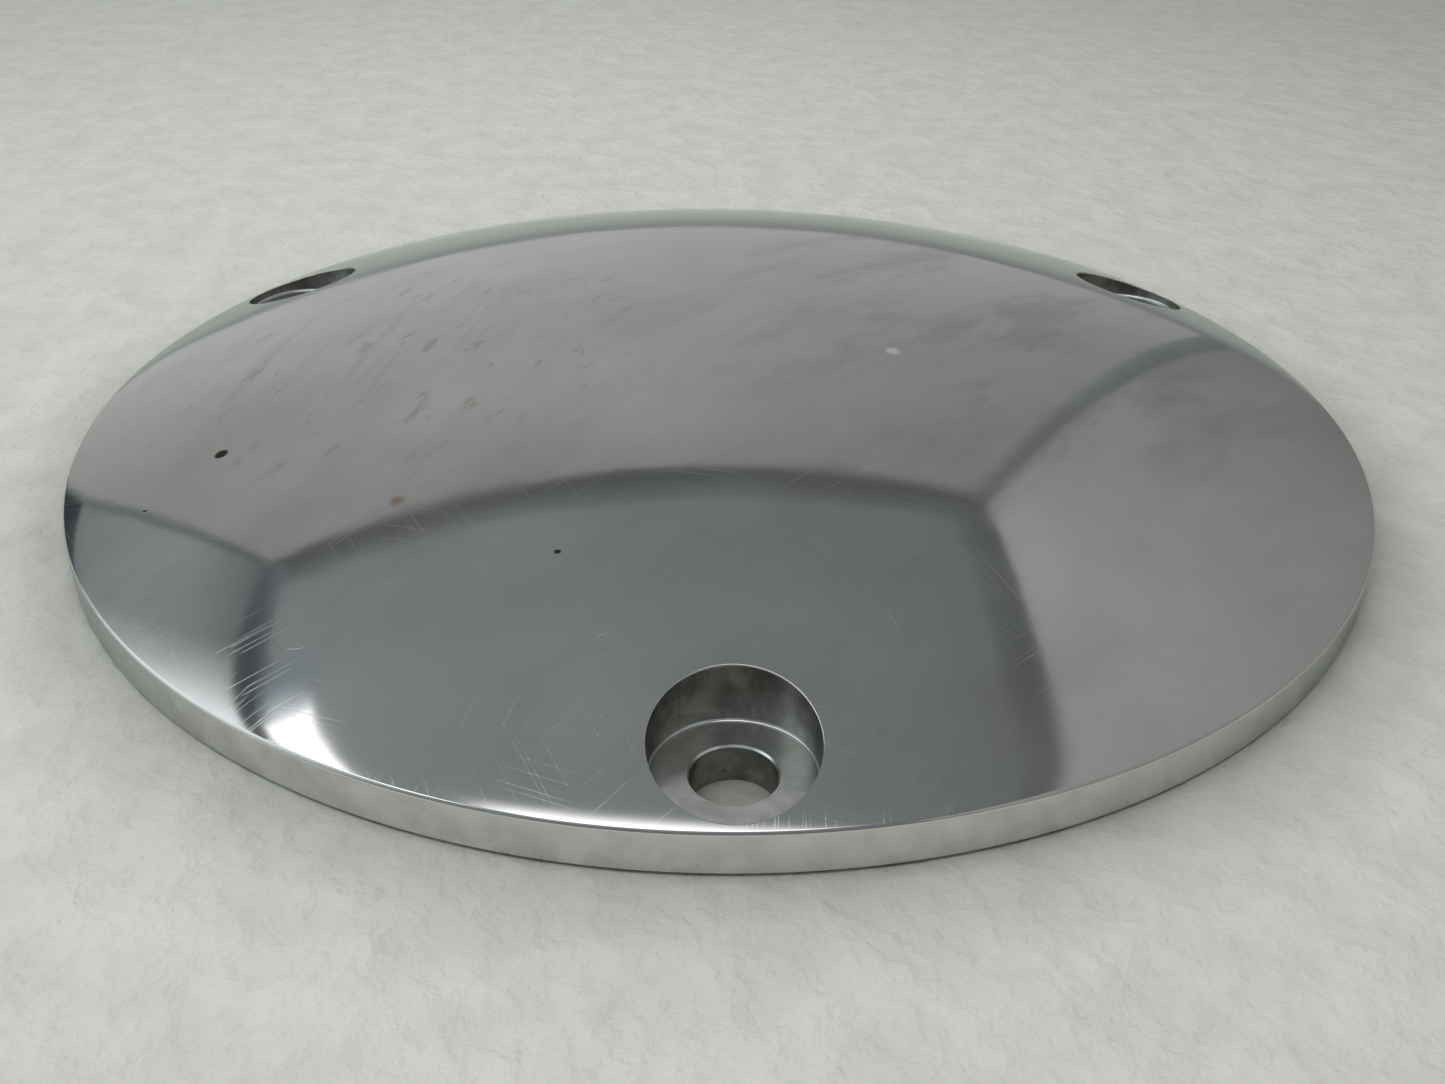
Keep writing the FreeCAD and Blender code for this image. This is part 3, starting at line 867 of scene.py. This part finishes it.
def glow_material(name, mottle):
    """Light in the colours of the card's own points, gently uneven."""
    material = bpy.data.materials.new(name)
    material.use_nodes = True
    tree = material.node_tree
    tree.nodes.clear()
    output = tree.nodes.new("ShaderNodeOutputMaterial")
    light = tree.nodes.new("ShaderNodeEmission")
    colour = tree.nodes.new("ShaderNodeAttribute")
    colour.attribute_name = "tone"
    place = tree.nodes.new("ShaderNodeTexCoord")
    noise = tree.nodes.new("ShaderNodeTexNoise")
    noise.inputs["Scale"].default_value = 2.6
    noise.inputs["Detail"].default_value = 3.0
    spread = tree.nodes.new("ShaderNodeMapRange")
    spread.inputs["From Min"].default_value = 0.3
    spread.inputs["From Max"].default_value = 0.7
    spread.inputs["To Min"].default_value = 1 - mottle
    spread.inputs["To Max"].default_value = 1 + mottle
    tree.links.new(place.outputs["Object"], noise.inputs["Vector"])
    tree.links.new(noise.outputs[0], spread.inputs["Value"])
    tree.links.new(colour.outputs["Color"], light.inputs["Color"])
    tree.links.new(spread.outputs[0], light.inputs["Strength"])
    tree.links.new(light.outputs[0], output.inputs["Surface"])
    return material


def blend(levels, tint):
    """A card's shade, blended between the levels of its four corners, in their order."""
    a, b, c, d = (linear(level, tint) for level in levels)

    def shade(u, v):
        return (a * (1 - u) + b * u) * (1 - v) + (d * (1 - u) + c * u) * v
    return shade


def eased(place, none, full):
    """0 at one place, 1 at another and beyond, with a smooth slope between them."""
    share = min(max((place - none) / (full - none), 0.0), 1.0)
    return share * share * (3 - 2 * share)


def pool(base, light, left=(-2, -1), right=(3, 2), low=(-2, -1), high=(3, 2), lean=0.0):
    """A shade with a soft-edged pool of another light on it, which may lean sideways.

    Each side says where across the card, from 0 to 1, the pool is gone and where it is full.
    """
    def shade(u, v):
        along = u + lean * (1 - v)
        share = eased(along, *left) * eased(along, *right) * eased(v, *low) * eased(v, *high)
        below = base(u, v)
        return below + (light - below) * share
    return shade


def card(name, corners, shade, material, steps=16):
    """A flat card in the room, from its first corner across to the second and up to the others."""
    a, b, c, d = (np.array(in_room(*corner)) for corner in corners)
    shares = [(i / steps, j / steps) for j in range(steps + 1) for i in range(steps + 1)]
    points = [(a * (1 - u) + b * u) * (1 - v) + (d * (1 - u) + c * u) * v for u, v in shares]
    colours = [(*(shade(u, v) / METAL_SHARE), 1.0) for u, v in shares]
    faces = [(r * (steps + 1) + s, r * (steps + 1) + s + 1,
              (r + 1) * (steps + 1) + s + 1, (r + 1) * (steps + 1) + s)
             for r in range(steps) for s in range(steps)]
    mesh = bpy.data.meshes.new(name)
    mesh.from_pydata([tuple(p) for p in points], [], faces)
    tone = mesh.attributes.new("tone", "FLOAT_COLOR", "POINT")
    tone.data.foreach_set("color", np.array(colours, np.float32).ravel())
    mesh.materials.append(material)
    thing = add_object(name, mesh)
    thing.visible_shadow = False


def make_walls():
    plain = glow_material("room_tone", 0.05)
    left, right, far, near = ROOM_LEFT, ROOM_RIGHT, ROOM_FAR, ROOM_NEAR
    far_left, far_right = ceiling_at(left, far), ceiling_at(right, far)
    near_left, near_right = ceiling_at(left, near), ceiling_at(right, near)
    card("ceiling", [far_left, far_right, near_right, near_left],
         blend((121, 102, 101, 144), COOL), plain)

    # The far wall is lit at half height, and more brightly by the floor towards its left.
    far_base = blend((132, 124, 122, 131), NEUTRAL)
    far_wash = pool(far_base, linear(150, NEUTRAL), left=(-0.1, 0.34), right=(1.15, 0.3),
                    high=(1.1, 0.45))
    far_glow = pool(far_wash, linear(195, NEUTRAL), left=(-0.30, 0.32), right=(1.35, 0.30),
                    high=(0.52, -0.12))
    card("far_wall", [(left, far, 0), (right, far, 0), far_right, far_left], far_glow, plain)

    # The left wall has a window's worth of light on it, with a sharper edge on its far side.
    left_base = blend((88, 98, 93, 112), COOL)
    left_wash = pool(left_base, linear(128, COOL), low=(0.0, 0.62), high=(1.03, 0.68))
    left_glow = pool(left_wash, linear(228, COOL), left=(0.28, 0.66), right=(0.882, 0.755),
                     low=(-0.62, 0.50), lean=0.068)
    card("left_wall", [(left, near, 0), (left, far, 0), far_left, near_left], left_glow, plain)
    card("right_wall", [(right, far, 0), (right, near, 0), near_right, far_right],
         blend((124, 116, 146, 142), NEUTRAL), plain)


def make_mouldings():
    """Soft dark edges where the ceiling meets the walls, and in the far corners."""
    dark = glow_material("moulding_tone", 0.12)
    left, right, far, near = ROOM_LEFT, ROOM_RIGHT, ROOM_FAR, ROOM_NEAR
    gap = 0.012
    drop = 0.075
    fade = 0.13
    inner_far = far - gap
    card("far_moulding", [ceiling_at(left, inner_far, drop), ceiling_at(right, inner_far, drop),
                          ceiling_at(right, inner_far), ceiling_at(left, inner_far)],
         blend((84, 84, 76, 74), COOL), dark)
    card("far_ceiling_edge", [ceiling_at(left, far - fade, gap), ceiling_at(right, far - fade, gap),
                              ceiling_at(right, far, gap), ceiling_at(left, far, gap)],
         blend((112, 96, 76, 74), COOL), dark)
    inner_left = left + gap
    card("left_moulding", [ceiling_at(inner_left, near, drop * 1.8),
                           ceiling_at(inner_left, far, drop * 1.2),
                           ceiling_at(inner_left, far), ceiling_at(inner_left, near)],
         pool(blend((82, 92, 84, 62), COLD), linear(43, COLD), left=(-0.15, 0.5),
              right=(1.0, 0.76)), dark)
    card("left_ceiling_edge", [ceiling_at(left + 0.08, near, gap), ceiling_at(left + 0.05, far, gap),
                               ceiling_at(left, far, gap), ceiling_at(left, near, gap)],
         pool(blend((104, 112, 90, 82), COLD), linear(46, COLD), left=(-0.1, 0.62),
              right=(1.0, 0.76)), dark)
    card("right_ceiling_edge", [ceiling_at(right - 0.12, near, gap),
                                ceiling_at(right - 0.12, far, gap),
                                ceiling_at(right, far, gap), ceiling_at(right, near, gap)],
         blend((98, 94, 77, 80), COOL), dark)
    for side, inner in ((left, left + 0.035), (right, right - 0.05)):
        card("corner_shade", [(side, inner_far, 0), (inner, inner_far, 0),
                              ceiling_at(inner, inner_far), ceiling_at(side, inner_far)],
             blend((106, 120, 104, 80), COOL), dark)


def make_lights():
    """Lights that the dome mirrors, and one for the floor that it doesn't."""
    glow = glow_material("lamp_tone", 0.0)
    low = 1.41
    fine = 48
    card("light_by_wall", [(-1.035, 0.605, low), (-0.872, 0.685, low),
                           (-0.665, -0.60, low), (-1.03, -0.60, low)],
         pool(blend([110] * 4, COOL), 1.45, left=(0.0, 0.06), right=(1.0, 0.94),
              low=(0.0, 0.05), high=(1.0, 0.80)), glow, fine)
    card("light_overhead", [(-0.56, 0.20, low), (0.36, -0.05, low),
                            (0.36, -0.60, low), (-0.62, -0.60, low)],
         pool(blend([128] * 4, COOL), 1.5, left=(0.0, 0.14), right=(1.0, 0.74),
              low=(0.0, 0.16), high=(1.0, 0.55)), glow, fine)

    # What spills past the wall light: bright beside it, dark along the wall.
    spill = pool(blend((121, 121, 122, 122), COLD), linear(190, COLD), left=(0.0, 0.34),
                 right=(1.0, 0.55), low=(0.30, 1.05))
    card("light_spill", [(-1.04, 0.86, low), (-0.86, 0.80, low),
                         (-0.86, 0.62, low), (-1.04, 0.56, low)],
         pool(spill, linear(74, COLD), right=(0.30, -0.02), high=(1.9, -0.1)), glow, fine // 2)
    beside = ROOM_LEFT + 0.02
    card("dark_corner", [(beside, 0.72, 0.0), (beside, 1.25, 0.0),
                         (beside, 1.25, 0.50), (beside, 0.82, 0.60)],
         blend((70, 46, 52, 70), COLD), glow)
    light = bpy.data.lights.new("floor_light", "AREA")
    light.shape = "RECTANGLE"
    light.size = 1.4
    light.size_y = 1.2
    light.energy = 9.0
    thing = add_object("floor_light", light)
    thing.location = (-0.25, -0.25, 1.4)
    thing.visible_glossy = False


def make_floor():
    """A plain pale foam sheet, with shade painted into its colour: dark under and round the cover,
    and a little darker farther off and towards the right.
    """
    paint = Paint("pale_floor")
    swell = paint.noise(paint.place, 0.16, 3.0, 0.5)["Fac"]
    cells = paint.cells(paint.vector("SCALE", paint.place, scale=0.30))["Distance"]
    skin = paint.noise(paint.place, 0.7, 3.0, 0.55)["Fac"]
    shader = paint.tree.nodes.new("ShaderNodeBsdfPrincipled")
    colour = paint.mix(paint.ramp(swell, 0.3, 0.7), FOAM, FOAM_SWELL)
    # Painted shade: the colour darkens under the cover and close round its foot, farther from it,
    # and towards the right.
    distance = paint.vector("LENGTH", paint.place)
    shade = paint.maths("MULTIPLY", paint.ramp(distance, 56.0, 80.0, 0.40, 1.0),
                        paint.ramp(distance, 90.0, 330.0, 1.0, 0.72))
    shade = paint.maths("MULTIPLY", shade,
                        paint.ramp(paint.axes(paint.place)[0], -60.0, 160.0, 1.0, 0.86))
    colour = paint.mix(shade, (0, 0, 0, 1), colour)
    paint.put(shader.inputs["Base Color"], colour)
    shader.inputs["Roughness"].default_value = 0.6
    height = paint.total(paint.maths("MULTIPLY", swell, 0.9), paint.maths("MULTIPLY", cells, 0.5),
                         paint.maths("MULTIPLY", skin, 0.5))
    paint.put(shader.inputs["Normal"], paint.bump(height, 0.7))
    paint.tree.links.new(shader.outputs[0], paint.output.inputs["Surface"])
    reach = 3.0
    level = -0.00005
    mesh = bpy.data.meshes.new("floor")
    mesh.from_pydata([(-reach, -reach, level), (reach, -reach, level), (reach, reach, level),
                      (-reach, reach, level)], [], [(0, 1, 2, 3)])
    mesh.materials.append(paint.material)
    add_object("floor", mesh)


def make_world():
    world = bpy.data.worlds.new("surroundings")
    world.use_nodes = True
    world.node_tree.nodes["Background"].inputs["Color"].default_value = (*linear(120), 1)
    bpy.context.scene.world = world


def make_camera():
    camera = bpy.data.cameras.new("camera")
    camera.lens = 37.25
    camera.sensor_width = 36.0
    camera.clip_start = 0.005
    thing = add_object("camera", camera)
    turn, down, roll = math.radians(-1.395), math.radians(31.30), math.radians(0.87)
    look = (Matrix.Rotation(turn, 4, "Z") @ Matrix.Rotation(math.pi / 2 - down, 4, "X")
            @ Matrix.Rotation(roll, 4, "Z"))
    thing.matrix_world = Matrix.Translation(Vector((-3.20, -145.37, 75.98)) * MM) @ look
    bpy.context.scene.camera = thing
    bpy.context.scene.view_settings.view_transform = "Standard"


make_camera()
make_cover()
make_seal()
make_floor()
make_walls()
make_mouldings()
make_lights()
make_world()
